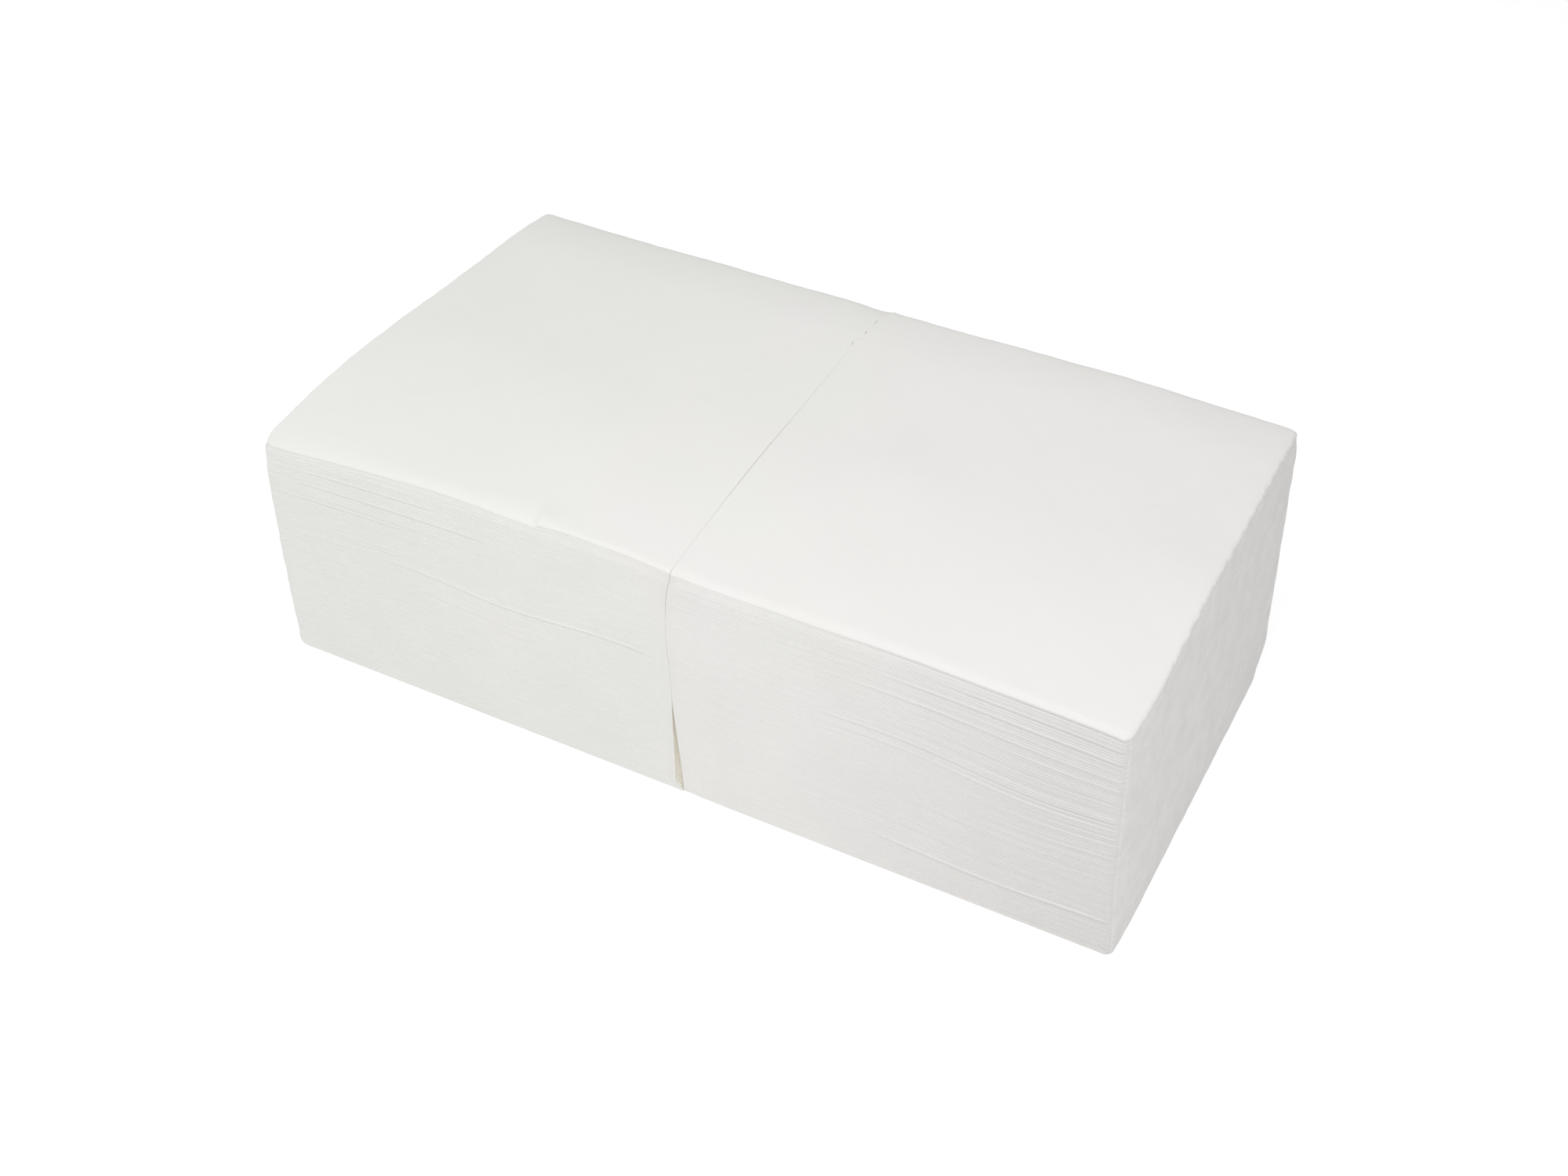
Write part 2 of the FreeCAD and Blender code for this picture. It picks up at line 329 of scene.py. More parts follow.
class Outline:
    """Places across and along, from 0 to 1, with outward normals, and how much each belongs
    to the front, right, left and cut sides. Fineness is how many times closer together than
    usual its columns are."""

    def __init__(self, stack, fineness=1.0):
        near_left, near_right, far_right, far_left = CORNER_RADII[stack]
        sides = [
            ("front", (near_left, 0.0), (SIDE - near_right, 0.0), -math.pi / 2, near_right),
            ("right", (SIDE, near_right), (SIDE, SIDE - far_right), 0.0, far_right),
            ("back", (SIDE - far_right, SIDE), (far_left, SIDE), math.pi / 2, far_left),
            ("left", (0.0, SIDE - far_left), (0.0, near_left), math.pi, near_left),
        ]
        places = []
        angles = []
        for name, first, last, heading, radius in sides:
            first, last = np.array(first), np.array(last)
            count = round(np.hypot(*(last - first)) / SPACING[stack][name] * fineness)
            for step in range(count):
                part = step / count
                if (stack, name) == ("left", "right"):
                    part = part ** SEAM_CROWDING
                if (stack, name) == ("right", "left"):
                    part = 1.0 - (1.0 - part) ** SEAM_CROWDING
                places.append(first + (last - first) * part)
                angles.append(heading)
            centre = last - radius * np.array([math.cos(heading), math.sin(heading)])
            for step in range(CORNER_STEPS):
                angle = heading + math.pi / 2 * step / CORNER_STEPS
                turned = np.array([math.cos(angle), math.sin(angle)])
                places.append(centre + radius * turned)
                angles.append(angle)
        self.across, self.along = np.array(places).T / SIDE
        self.normals = np.stack([np.cos(angles), np.sin(angles)], -1)
        self.front = np.clip(-self.normals[:, 1], 0.0, 1.0) ** 2
        self.right = np.clip(self.normals[:, 0], 0.0, 1.0) ** 2
        self.cut = 1.0 - self.front - self.right
        self.left = np.clip(-self.normals[:, 0], 0.0, 1.0) ** 2
        steps = np.diff(np.array(places), axis=0, append=[places[0]])
        self.distance = np.concatenate([[0.0], np.cumsum(np.hypot(*steps.T))])
        self.columns = len(places)


# Profile of a napkin's edge from its underside to its top: one nose at the second fold in
# front, two at the first folds on the right, cut leaves behind and on the left.
ROWS = np.array([0.0, 0.13, 0.36, 0.5, 0.64, 0.87, 1.0])
NOSE = np.array([-0.11, -0.035, 0.0, 0.005, 0.0, -0.035, -0.11])
PAIR = np.array([-0.16, -0.02, -0.02, -0.10, -0.02, -0.02, -0.16])
LEAVES = np.array([-0.14, 0.0, -0.07, -0.02, -0.07, 0.0, -0.14])
NOSE_DEEPENING = {"left": 0.5, "right": 0.7}

# Napkins that stand proud on the front: stack, level, step, and the x where they start and end.
PROUD = [
    ("left", 59, 0.22, -128.0, -4.0),
    ("left", 90, 0.18, -160.0, -90.0),
    ("left", 84, 0.16, -166.0, -70.0),
    ("left", 77, 0.16, -166.0, -100.0),
    ("right", 16, 0.25, 68.0, 168.0),
    ("right", 59, 0.13, 50.0, 168.0),
    ("right", 63, 0.18, 44.0, 168.0),
    ("right", 72, 0.14, 90.0, 168.0),
    ("right", 81, 0.16, 60.0, 168.0),
    ("right", 88, 0.22, 70.0, 168.0),
    ("right", 93, 0.20, 90.0, 168.0),
]
PROUD_FADE_IN, PROUD_FADE_OUT = 25.0, 12.0
TOP_STEP, UNDER_STEP = 0.15, 0.10

# Depths of the ripples in the edges, and what is added to them where the folds lie loose.
RIDGE, LOOSE_RIDGE = 0.014, 0.045
FINE_RIDGE, LOOSE_FINE_RIDGE = 0.014, 0.018
FELT, SIDE_RIDGE, FRAYED = 0.045, 0.02, 0.09
RAGGED, CUT_FELT, CUT_RIDGE = 0.10, 0.12, 0.07
ridge_ripples = {
    "left": Ripples(31, (150.0, 700.0), (3.2, 9.0), 8),
    "right": Ripples(32, (150.0, 700.0), (3.2, 9.0), 8),
}
fine_ridges = {
    "left": Ripples(33, (60.0, 300.0), (1.7, 3.4), 8),
    "right": Ripples(34, (60.0, 300.0), (1.7, 3.4), 8),
}
felt_ripples = Ripples(35, (7.0, 28.0), (7.0, 28.0), 12)
ragged_ripples = Ripples(36, (5.0, 60.0), (0.3, 1.5), 14)
frayed_ripples = Ripples(37, (2.5, 11.0), (50.0, 90.0), 12)


def looseness(stack, height, x):
    """How loosely the front folds lie, from 0 near the seam to 1 high at the outer end."""
    if stack == "left":
        return smooth(-x, 60.0, 165.0) * (0.05 + 0.5 * smooth(height, 45.0, 85.0))
    return smooth(x, 50.0, 165.0) * (0.4 + 0.5 * smooth(height, 30.0, 70.0))


def front_offset(stack, level, x):
    """How far a napkin's front fold stands out, in ridges that grow to the outer end."""
    height = level * STACK_HEIGHT / NAPKINS
    loose = looseness(stack, height, x)
    offset = (RIDGE + LOOSE_RIDGE * loose) * ridge_ripples[stack](x, height)
    offset = offset + (FINE_RIDGE + LOOSE_FINE_RIDGE * loose) * fine_ridges[stack](x, height)
    for name, proud, step, start, end in PROUD:
        if name == stack:
            fade = smooth(x, start, start + PROUD_FADE_IN)
            fade = fade * (1.0 - smooth(x, end - PROUD_FADE_OUT, end))
            offset = offset + fade * step * (level == proud)
            offset = offset - 0.5 * fade * step * (level == proud - 1)
    if stack == "right":
        top_step = TOP_STEP * (level == NAPKINS - 1) - UNDER_STEP * (level == NAPKINS - 2)
        offset = offset + smooth(x, 30.0, 110.0) * top_step
    return offset


# Fine creases high on the right side: y and height where they start, and how they bend down.
CRINKLES = [(-6.0, 93.0, 0.012), (4.0, 88.0, 0.016), (16.0, 91.0, 0.02)]
CRINKLE_SLOPE = 0.35
CRINKLE_WIDTH = 1.1
CRINKLE_DEPTH = 0.28


def crinkle(y, z):
    """The fine curved creases, 1 along their middle lines."""
    total = 0.0
    for start, height, bend in CRINKLES:
        line = height + CRINKLE_SLOPE * (y - start) - bend * (y - start) ** 2
        total = total + hump(z, line, CRINKLE_WIDTH) * hump(y, start + 8.0, 13.0)
    return total


def side_offset(stack, level, distance, y, z):
    """How far the first folds stand out: soft as felt, and on the right stack with creases
    near the top and a frayed edge on the top napkin."""
    offset = FELT * felt_ripples(distance, z)
    offset = offset + SIDE_RIDGE * fine_ridges[stack](3.0 * distance, z)
    if stack == "right":
        offset = offset + CRINKLE_DEPTH * crinkle(y, z)
        offset = offset + FRAYED * frayed_ripples(distance, z) * (level == NAPKINS - 1)
    return offset


def cut_offset(stack, distance, z):
    """How far the cut leaves stand out. Each leaf is a little ragged."""
    ragged = RAGGED * ragged_ripples(distance, z) + CUT_FELT * felt_ripples(distance, z)
    return ragged + CUT_RIDGE * fine_ridges[stack](distance, z)


# Presses move a corner by this share of their depth along x and as much along y.
PRESS_SHARE = 0.7
PRESSED_FOOT = 2.4
PRESSED_SHARE = 0.11


def corner_press(stack, share, x, y):
    """How far the corners are pressed in: the left stack's outer front one at the top, the
    right stack's outer back one at the foot and at the top."""
    half = SIDE / 2
    if stack == "left":
        return hump(x, -SIDE, 7.0) * hump(y, -half, 7.0) * smooth(share, 0.8, 1.0)
    rear = hump(x, SIDE, 9.0) * hump(y, half, 9.0)
    top = hump(x, SIDE, 4.0) * hump(y, half, 4.0) * smooth(share, 0.9, 1.0)
    return PRESSED_FOOT * rear * np.clip(1.0 - share / PRESSED_SHARE, 0.0, 1.0) ** 1.6 + top


# The rims of the uppermost napkins lie back, on the left side most of all.
TOP_RETREAT = 0.4
LEFT_RETREAT = 1.2


def rims(stack, shape, levels):
    """Points of the rims of some napkins of a stack, as an array (napkin, row, column, xyz)."""
    level = np.array(levels)[:, None, None]
    share = (level + ROWS[None, :, None]) / NAPKINS
    middle = (level + 0.5) / NAPKINS + 0.0 * share
    front, back = depths(middle)
    y = front + shape.along * (back - front)
    left, right = ends(stack, middle, y)
    x = left + shape.across * (right - left)
    z = surface(stack, share, x, y)
    height = middle * STACK_HEIGHT
    distance = shape.distance[:-1] + 0.0 * x
    nose = NOSE[None, :, None] * (1.0 + NOSE_DEEPENING[stack] * looseness(stack, height, x))
    ridges = smooth(shape.front, 0.8, 1.0) * front_offset(stack, level, x)
    offset = shape.front * nose + ridges
    side = PAIR[None, :, None] + side_offset(stack, level, distance, y, height)
    offset = offset + shape.right * side
    cut = LEAVES[None, :, None] + cut_offset(stack, distance, share * STACK_HEIGHT)
    offset = offset + shape.cut * cut
    retreat = TOP_RETREAT + (LEFT_RETREAT * shape.left if stack == "left" else 0.0)
    offset = offset - retreat * smooth(share, 0.94, 1.0)
    inner = shape.across if stack == "left" else 1.0 - shape.across
    offset = offset * (1.0 - smooth(inner, 0.98, 1.0))
    press = corner_press(stack, middle, x, y) * PRESS_SHARE
    x = x + shape.normals[:, 0] * offset - np.sign(shape.across - 0.5) * press
    y = y + shape.normals[:, 1] * offset - np.sign(shape.along - 0.5) * press
    return np.stack([x, y, z], -1)


def rim_faces(first, rows, columns):
    """Quads between the rows of a rim whose vertices start at first."""
    row = np.arange(rows - 1)[:, None] * columns + first
    here = np.arange(columns)[None, :]
    following = (here + 1) % columns
    corners = [row + here, row + following, row + columns + following, row + columns + here]
    return np.stack(corners, -1).reshape(-1, 4)


def fan_faces(ring, centre, upward):
    """Triangles from a ring of vertices to a centre vertex."""
    following = np.roll(ring, -1)
    tips = np.full(len(ring), centre)
    order = [ring, following, tips] if upward else [following, ring, tips]
    return np.stack(order, -1)


# Edges that turn by more than this are drawn sharp.
SHARP_ANGLE = math.radians(50.0)


class Sheets:
    """Collects the points and faces of a piece, and makes its mesh."""

    def __init__(self):
        self.points = []
        self.count = 0
        self.quads = []
        self.triangles = []
        self.quad_uvs = []
        self.quad_kinds = []
        self.triangle_kinds = []

    def add_points(self, points):
        """Returns the number of the first of the points."""
        first = self.count
        self.points.append(points.reshape(-1, 3))
        self.count += len(self.points[-1])
        return first

    def add_rim(self, rim, shape, stack, level):
        """The rim of one napkin. Returns the number of its first vertex."""
        rows, columns = rim.shape[:2]
        first = self.add_points(rim)
        self.quads.append(rim_faces(first, rows, columns))
        start, end = shape.distance[:-1], shape.distance[1:]
        u = np.stack([start, end, end, start], -1)[None].repeat(rows - 1, 0)
        low = np.repeat(ROWS[:-1, None], columns, 1)
        high = np.repeat(ROWS[1:, None], columns, 1)
        v = level + np.stack([low, low, high, high], -1)
        self.quad_uvs.append(np.stack([u, v], -1).reshape(-1, 2))
        kinds = np.where(shape.front > 0.5, FOLD, np.where(shape.right > 0.5, PAIRED, CUT))
        inner = shape.right if stack == "left" else shape.left
        kinds = np.where(inner > 0.5, SEAM, kinds)
        self.quad_kinds.append(np.tile(kinds, rows - 1))
        return first

    def add_cap(self, ring, centre, upward):
        """A flat face inside a ring of vertices, that looks up or down."""
        place = self.add_points(centre)
        self.triangles.append(fan_faces(ring, place, upward))
        self.triangle_kinds.append(np.full(len(ring), FACE))

    def add_rings(self, lower, inner):
        """Rings of a top sheet inside the ring of vertices lower. Returns the last of them."""
        columns = len(lower)
        start = self.add_points(inner)
        ring = np.arange(columns)
        following = (ring + 1) % columns
        for step in range(len(inner)):
            upper = start + step * columns + ring
            quad = [lower, lower[following], upper[following], upper]
            self.quads.append(np.stack(quad, -1))
            self.quad_uvs.append(np.zeros((4 * columns, 2)))
            self.quad_kinds.append(np.full(columns, FACE))
            lower = upper
        return lower

    def make(self, name):
        """The object that has all the points and faces, with its layer coordinates."""
        quads, triangles = np.concatenate(self.quads), np.concatenate(self.triangles)
        corners = np.concatenate([quads.ravel(), triangles.ravel()])
        sizes = np.concatenate([np.full(len(quads), 4), np.full(len(triangles), 3)])
        starts = np.concatenate([[0], np.cumsum(sizes)[:-1]])
        points = np.concatenate(self.points) + np.array([SEAM_X, MIDDLE_Y, 0.0])
        mesh = bpy.data.meshes.new(name)
        mesh.vertices.add(len(points))
        mesh.vertices.foreach_set("co", (points * MM).ravel().astype(np.float32))
        mesh.loops.add(len(corners))
        mesh.loops.foreach_set("vertex_index", corners.astype(np.int32))
        mesh.polygons.add(len(sizes))
        mesh.polygons.foreach_set("loop_start", starts.astype(np.int32))
        kinds = np.concatenate(self.quad_kinds + self.triangle_kinds)
        mesh.polygons.foreach_set("material_index", kinds.astype(np.int32))
        uvs = np.concatenate(self.quad_uvs + [np.zeros((3 * len(triangles), 2))])
        layer = mesh.uv_layers.new(name="layers")
        layer.data.foreach_set("uv", uvs.ravel().astype(np.float32))
        mesh.update()
        mesh.shade_smooth()
        mesh.set_sharp_from_angle(angle=SHARP_ANGLE)
        piece = bpy.data.objects.new(name, mesh)
        bpy.context.scene.collection.objects.link(piece)
        return piece


# Kinds of paper surface, in the order of the material slots.
FACE, FOLD, PAIRED, CUT, SEAM = range(5)
PAPER_ROUGHNESS = 0.95
PAPER_SPECULAR = 0.15


def new_material(name):
    """A matte paper material, with its node tree, shader and object coordinates."""
    material = bpy.data.materials.new(name)
    material.use_nodes = True
    tree = material.node_tree
    shader = tree.nodes["Principled BSDF"]
    shader.inputs["Roughness"].default_value = PAPER_ROUGHNESS
    shader.inputs["Specular IOR Level"].default_value = PAPER_SPECULAR
    places = tree.nodes.new("ShaderNodeTexCoord")
    return material, tree, shader, places.outputs["Object"]


def noise(tree, places, size, stretch=(1.0, 1.0, 1.0), detail=2.0):
    """Noise whose grains are about size millimetres, times stretch along each axis."""
    mapping = tree.nodes.new("ShaderNodeMapping")
    mapping.inputs["Scale"].default_value = [1.0 / (size * MM * part) for part in stretch]
    texture = tree.nodes.new("ShaderNodeTexNoise")
    texture.inputs["Scale"].default_value = 1.0
    texture.inputs["Detail"].default_value = detail
    tree.links.new(places, mapping.inputs["Vector"])
    tree.links.new(mapping.outputs["Vector"], texture.inputs["Vector"])
    return texture.outputs["Fac"]


def math_node(tree, operation, first, second):
    """The result of an operation on two numbers or sockets."""
    node = tree.nodes.new("ShaderNodeMath")
    node.operation = operation
    for socket, value in zip(node.inputs, (first, second)):
        if isinstance(value, (int, float)):
            socket.default_value = value
        else:
            tree.links.new(value, socket)
    return node.outputs["Value"]


def ramp(tree, value, low, dark, high, light):
    """Blends from the dark colour at the value low to the light one at the value high."""
    node = tree.nodes.new("ShaderNodeValToRGB")
    node.color_ramp.elements[0].position = low
    node.color_ramp.elements[0].color = (*dark, 1.0)
    node.color_ramp.elements[1].position = high
    node.color_ramp.elements[1].color = (*light, 1.0)
    tree.links.new(value, node.inputs["Fac"])
    return node.outputs["Color"]


def multiply(tree, first, second):
    """The product of two colours."""
    node = tree.nodes.new("ShaderNodeMix")
    node.data_type = "RGBA"
    node.blend_type = "MULTIPLY"
    node.inputs["Factor"].default_value = 1.0
    tree.links.new(first, node.inputs["A"])
    tree.links.new(second, node.inputs["B"])
    return node.outputs["Result"]


def bump(tree, height, distance, below=None):
    """A bump of the given depth in millimetres, on top of the one below."""
    node = tree.nodes.new("ShaderNodeBump")
    node.inputs["Strength"].default_value = 1.0
    node.inputs["Distance"].default_value = distance * MM
    tree.links.new(height, node.inputs["Height"])
    if below is not None:
        tree.links.new(below, node.inputs["Normal"])
    return node.outputs["Normal"]


WHITE = (1.0, 1.0, 1.0)
WARM_PAPER = (0.884, 0.868, 0.852)
COOL_PAPER = (0.862, 0.866, 0.834)
SHINE_THROUGH = (0.925, 0.888, 0.795)
CLOUD_SIZE = 55.0
WARMING_PER_METRE = 4.0


def paper_tint(tree, places):
    """White that drifts in clouds, and from cool on the left to warm on the right."""
    parts = tree.nodes.new("ShaderNodeSeparateXYZ")
    tree.links.new(places, parts.inputs["Vector"])
    drift = math_node(tree, "MULTIPLY", parts.outputs["X"], WARMING_PER_METRE)
    cloud = noise(tree, places, CLOUD_SIZE, detail=1.0)
    return ramp(tree, math_node(tree, "ADD", cloud, drift), 0.2, COOL_PAPER, 0.8, WARM_PAPER)


def face_material():
    """Flat tissue: cloudy by a few percent, creped across, with fine fibres."""
    material, tree, shader, places = new_material("tissue_sheet")
    tree.links.new(paper_tint(tree, places), shader.inputs["Base Color"])
    crepe = noise(tree, places, 1.1, (3.0, 0.6, 1.0), 2.0)
    fibres = noise(tree, places, 0.35, detail=2.0)
    normal = bump(tree, crepe, 0.05)
    normal = bump(tree, fibres, 0.02, normal)
    tree.links.new(normal, shader.inputs["Normal"])
    return material


def seam_material():
    """The sides that meet at the seam, warm with the light that comes through the paper."""
    material, tree, shader, places = new_material("tissue_seam_side")
    shader.inputs["Base Color"].default_value = (*SHINE_THROUGH, 1.0)
    fibres = noise(tree, places, 0.4, detail=2.0)
    tree.links.new(bump(tree, fibres, 0.04), shader.inputs["Normal"])
    return material


def edge_material(name, leaves, line_depth, mottle, dark, fibre_depth, loose_end_shade):
    """Edges of the given number of leaves per napkin, with fine lines between them and
    fibres. Mottles of about mottle millimetres and painted shade along the fine lines between
    the leaves go down to the share dark of the paper's colour, and the right end of the stacks
    is darker by the last share, a painted shade of the gaps between its loose folds."""
    material, tree, shader, places = new_material(name)
    layers = tree.nodes.new("ShaderNodeUVMap")
    layers.uv_map = "layers"
    parts = tree.nodes.new("ShaderNodeSeparateXYZ")
    tree.links.new(layers.outputs["UV"], parts.inputs["Vector"])
    wobble = noise(tree, places, 6.0, (1.0, 1.0, 0.3), 0.0)
    place = math_node(tree, "MULTIPLY", parts.outputs["Y"], float(leaves))
    place = math_node(tree, "ADD", place, math_node(tree, "MULTIPLY", wobble, 0.5))
    line = math_node(tree, "PINGPONG", place, 0.5)
    # Painted shade: the fine lines between the leaves darken the colour, on top of mottles of
    # uneven tone.
    blotches = noise(tree, places, mottle, detail=2.0)
    mottle_and_line_shade = math_node(tree, "ADD", blotches, math_node(tree, "MULTIPLY", line, 0.35))
    mottle_and_line_shade_colour = ramp(tree, mottle_and_line_shade, 0.35, (dark, dark, dark), 0.85, WHITE)
    # Painted shade: the edge colour darkens towards the right end of the stacks, for the shade
    # in the gaps between the loose folds there.
    across = tree.nodes.new("ShaderNodeSeparateXYZ")
    tree.links.new(places, across.inputs["Vector"])
    outward = math_node(tree, "MULTIPLY", across.outputs["X"], 5.0)
    loose = 1.0 - loose_end_shade
    right_end_shade = ramp(tree, outward, 0.2, WHITE, 0.75, (loose, loose, loose))
    colour = multiply(tree, multiply(tree, paper_tint(tree, places), mottle_and_line_shade_colour), right_end_shade)
    tree.links.new(colour, shader.inputs["Base Color"])
    fibres = noise(tree, places, 0.4, detail=2.0)
    normal = bump(tree, line, line_depth)
    normal = bump(tree, fibres, fibre_depth, normal)
    tree.links.new(normal, shader.inputs["Normal"])
    return material


FLOOR_COLOUR = (0.85, 0.85, 0.85, 1.0)
SHADOW_COLOUR = (0.34, 0.34, 0.34, 1.0)
FLOOR_GLOW = 0.78


def floor_material():
    """Pale floor. The camera sees it white, with the soft shadow of the stacks."""
    material = bpy.data.materials.new("floor_pale")
    material.use_nodes = True
    tree = material.node_tree
    shader = tree.nodes["Principled BSDF"]
    shader.inputs["Base Color"].default_value = FLOOR_COLOUR
    shader.inputs["Roughness"].default_value = 0.9
    shader.inputs["Specular IOR Level"].default_value = 0.1
    shadow = tree.nodes.new("ShaderNodeBsdfDiffuse")
    shadow.inputs["Color"].default_value = SHADOW_COLOUR
    glow = tree.nodes.new("ShaderNodeEmission")
    glow.inputs["Strength"].default_value = FLOOR_GLOW
    seen = tree.nodes.new("ShaderNodeAddShader")
    mix = tree.nodes.new("ShaderNodeMixShader")
    tree.links.new(shadow.outputs["BSDF"], seen.inputs[0])
    tree.links.new(glow.outputs["Emission"], seen.inputs[1])
    tree.links.new(white_rays(tree), mix.inputs["Fac"])
    tree.links.new(shader.outputs["BSDF"], mix.inputs[1])
    tree.links.new(seen.outputs["Shader"], mix.inputs[2])
    tree.links.new(mix.outputs["Shader"], tree.nodes["Material Output"].inputs["Surface"])
    return material


def white_rays(tree):
    """1 for the rays that show a background: camera, glossy and transmission rays."""
    path = tree.nodes.new("ShaderNodeLightPath")
    camera, glossy = path.outputs["Is Camera Ray"], path.outputs["Is Glossy Ray"]
    found = math_node(tree, "MAXIMUM", camera, glossy)
    return math_node(tree, "MAXIMUM", found, path.outputs["Is Transmission Ray"])


# The papers, one for each kind of surface.
PAPERS = [
    face_material(),
    # The edge papers carry painted shade along the lines between leaves, and the second folds
    # also at the stacks' right end.
    edge_material(
        "tissue_second_folds", leaves=1, line_depth=0.015, mottle=22.0, dark=0.975,
        fibre_depth=0.03, loose_end_shade=0.115),
    edge_material(
        "tissue_first_folds", leaves=2, line_depth=0.03, mottle=7.0, dark=0.93,
        fibre_depth=0.03, loose_end_shade=0.0),
    edge_material(
        "tissue_cut_edges", leaves=4, line_depth=0.10, mottle=6.0, dark=0.95,
        fibre_depth=0.05, loose_end_shade=0.0),
    seam_material(),
]


def finish_piece(piece, node):
    """Gives a piece its papers and its place in the frame."""
    for material in PAPERS:
        piece.data.materials.append(material)
    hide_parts(node)
    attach(piece, "root")


def make_group(stack, number, points, shape):
    """The piece for one group of napkins, each a closed folded block of its own."""
    sheets = Sheets()
    first = number * GROUP
    for level in range(first, min(first + GROUP, NAPKINS - 1)):
        rim = points[level]
        start = sheets.add_rim(rim, shape, stack, level)
        ring = start + np.arange(shape.columns)
        top = ring + (len(ROWS) - 1) * shape.columns
        sheets.add_cap(ring, rim[0].mean(0), False)
        sheets.add_cap(top, rim[-1].mean(0), True)
    piece = sheets.make("%s_paper_%02d" % (stack, number + 1))
    finish_piece(piece, "%s_napkins_%02d" % (stack, number + 1))


# The top napkins' columns are this many times closer together than the others'. Their rings
# are RING_STEP apart at the rim, and each step inward is wider than the last.
TOP_FINENESS = 2.6
RING_STEP = 0.5
RING_GROWTH = 1.09
RING_WIDEST = 3.0


def ring_sizes():
    """Shares of the rim's size that the rings of a top sheet have, from the rim inward."""
    sizes = []
    inward = RING_STEP
    step = RING_STEP
    while inward < SIDE / 2 - 1.0:
        sizes.append(1.0 - inward / (SIDE / 2))
        inward += step
        step = min(step * RING_GROWTH, RING_WIDEST)
    return sizes


def make_top(stack, points, shape):
    """The top napkin of a stack, whose upper face is a fine sheet of rings."""
    sheets = Sheets()
    rim = points[0]
    start = sheets.add_rim(rim, shape, stack, NAPKINS - 1)
    ring = start + np.arange(shape.columns)
    sheets.add_cap(ring, rim[0].mean(0), False)
    centre = rim[-1].mean(0)
    rings = []
    for size in ring_sizes():
        inner = centre + (rim[-1] - centre) * size
        inner[:, 2] = surface(stack, 1.0, inner[:, 0], inner[:, 1])
        rings.append(inner)
    top = ring + (len(ROWS) - 1) * shape.columns
    last = sheets.add_rings(top, np.array(rings))
    centre[2] = surface(stack, 1.0, centre[:1], centre[1:2])[0]
    sheets.add_cap(last, centre, True)
    piece = sheets.make("%s_paper_top" % stack)
    finish_piece(piece, "%s_top_napkin" % stack)


for stack in STACKS:
    shape = Outline(stack)
    points = rims(stack, shape, range(NAPKINS - 1))
    for number in range(math.ceil((NAPKINS - 1) / GROUP)):
        make_group(stack, number, points, shape)
    fine_shape = Outline(stack, TOP_FINENESS)
    make_top(stack, rims(stack, fine_shape, [NAPKINS - 1]), fine_shape)


FLOOR_REACH = 3.0


def make_floor():
    """A square floor under the stacks, FLOOR_REACH metres to each side."""
    turns = ((-1, -1), (1, -1), (1, 1), (-1, 1))
    corners = [(x * FLOOR_REACH, y * FLOOR_REACH, 0.0) for x, y in turns]
    mesh = bpy.data.meshes.new("floor")
    mesh.from_pydata(corners, [], [(0, 1, 2, 3)])
    mesh.materials.append(floor_material())
    floor = bpy.data.objects.new("floor", mesh)
    bpy.context.scene.collection.objects.link(floor)


WORLD_LEVEL = 0.56


def make_world():
    """Soft white surroundings at a plain level. What shows of them is white."""
    world = bpy.data.worlds.new("studio")
    world.use_nodes = True
    tree = world.node_tree
    tree.nodes["Background"].inputs["Strength"].default_value = WORLD_LEVEL
    tree.nodes["Background"].inputs["Color"].default_value = (*WHITE, 1.0)
    shown = tree.nodes.new("ShaderNodeBackground")
    shown.inputs["Color"].default_value = (*WHITE, 1.0)
    mix = tree.nodes.new("ShaderNodeMixShader")
    tree.links.new(white_rays(tree), mix.inputs["Fac"])
    tree.links.new(tree.nodes["Background"].outputs["Background"], mix.inputs[1])
    tree.links.new(shown.outputs["Background"], mix.inputs[2])
    tree.links.new(mix.outputs["Shader"], tree.nodes["World Output"].inputs["Surface"])
    bpy.context.scene.world = world


def facing(place, target):
    """A matrix at place whose -Z axis looks at target, upright."""
    back = np.array(place) - np.array(target)
    back = back / np.linalg.norm(back)
    right = np.cross([0.0, 0.0, 1.0], back)
    right = right / np.linalg.norm(right)
    up = np.cross(back, right)
    return axes_matrix(right, up, back, place)


def axes_matrix(right, up, back, place):
    """A matrix with the given axes, at place."""
    matrix = Matrix.Identity(4)
    for column, axis in enumerate((right, up, back, place)):
        for row in range(3):
            matrix[row][column] = axis[row]
    return matrix


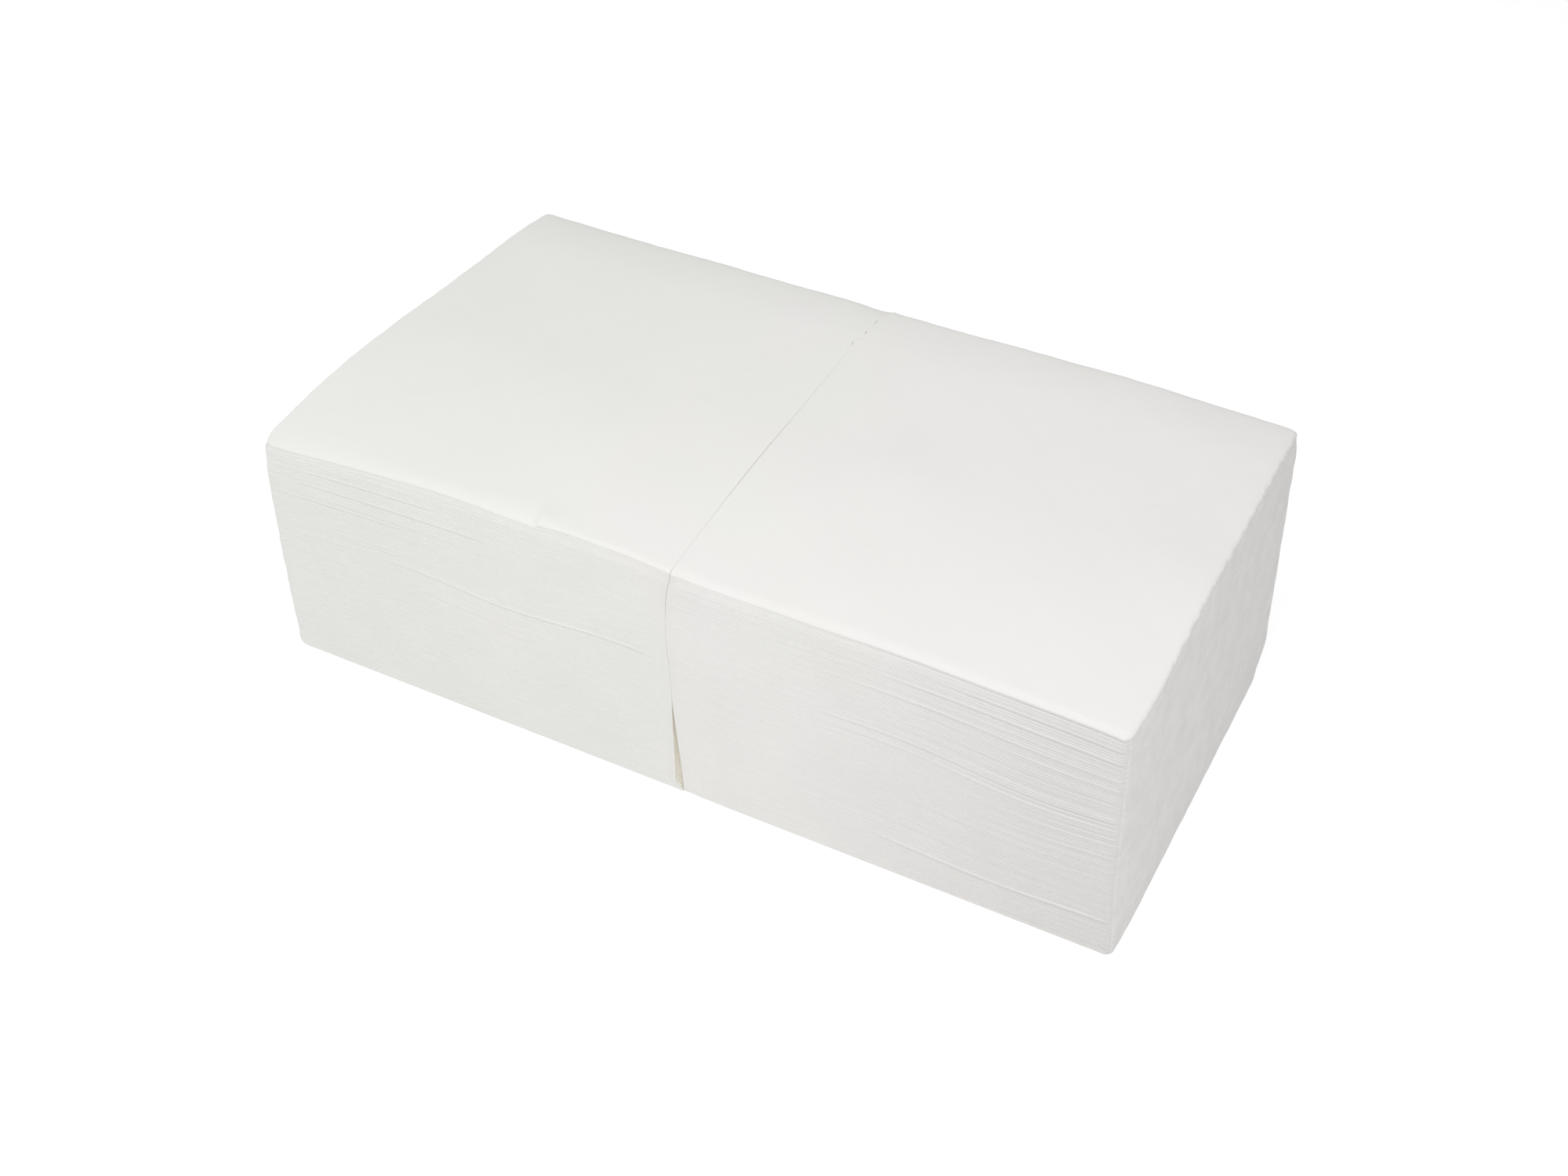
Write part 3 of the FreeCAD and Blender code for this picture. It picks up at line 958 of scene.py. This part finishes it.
# Soft lamps: name, azimuth and elevation in degrees, distance and size in metres, and level.
LAMPS = [
    ("key", 8.0, 61.0, 0.85, 0.5, 0.364),
    ("left_fill", -74.0, 12.0, 0.6, 0.4, 0.09),
    ("front_fill", -25.0, 8.0, 0.7, 0.5, 0.044),
    ("right_fill", 72.0, 14.0, 0.6, 0.4, 0.088),
]
LAMP_TARGET = (0.0, 0.0, 0.05)


def make_lamp(name, azimuth, elevation, distance, size, level):
    """A square soft lamp. Level is what it adds to a white surface that faces it."""
    turn, rise = math.radians(azimuth), math.radians(elevation)
    place = (
        distance * math.sin(turn) * math.cos(rise),
        -distance * math.cos(turn) * math.cos(rise),
        distance * math.sin(rise),
    )
    data = bpy.data.lights.new(name, "AREA")
    data.shape = "SQUARE"
    data.size = size
    data.energy = level * (math.pi * distance) ** 2
    lamp = bpy.data.objects.new(name, data)
    lamp.matrix_world = facing(place, LAMP_TARGET)
    lamp.visible_camera = False
    bpy.context.scene.collection.objects.link(lamp)


def make_camera():
    """The fitted camera. Its place is measured from the foot of the seam, half way back."""
    turn, rise, tilt = CAMERA_AZIMUTH, CAMERA_ELEVATION, CAMERA_ROLL
    back = np.array([
        math.sin(turn) * math.cos(rise), -math.cos(turn) * math.cos(rise), math.sin(rise)])
    level = np.array([math.cos(turn), math.sin(turn), 0.0])
    over = np.cross(back, level)
    right = math.cos(tilt) * level + math.sin(tilt) * over
    up = math.cos(tilt) * over - math.sin(tilt) * level
    place = back * CAMERA_DISTANCE + right * CAMERA_ACROSS + up * CAMERA_UP
    place = (place + np.array([SEAM_X, MIDDLE_Y, 0.0])) * MM
    data = bpy.data.cameras.new("camera")
    data.sensor_width = SENSOR_WIDTH
    data.lens = LENS
    data.clip_start = 0.01
    camera = bpy.data.objects.new("camera", data)
    camera.matrix_world = axes_matrix(right, up, back, place)
    bpy.context.scene.collection.objects.link(camera)
    bpy.context.scene.camera = camera


make_floor()
make_world()
for lamp in LAMPS:
    make_lamp(*lamp)
make_camera()
bpy.context.scene.view_settings.view_transform = "Standard"
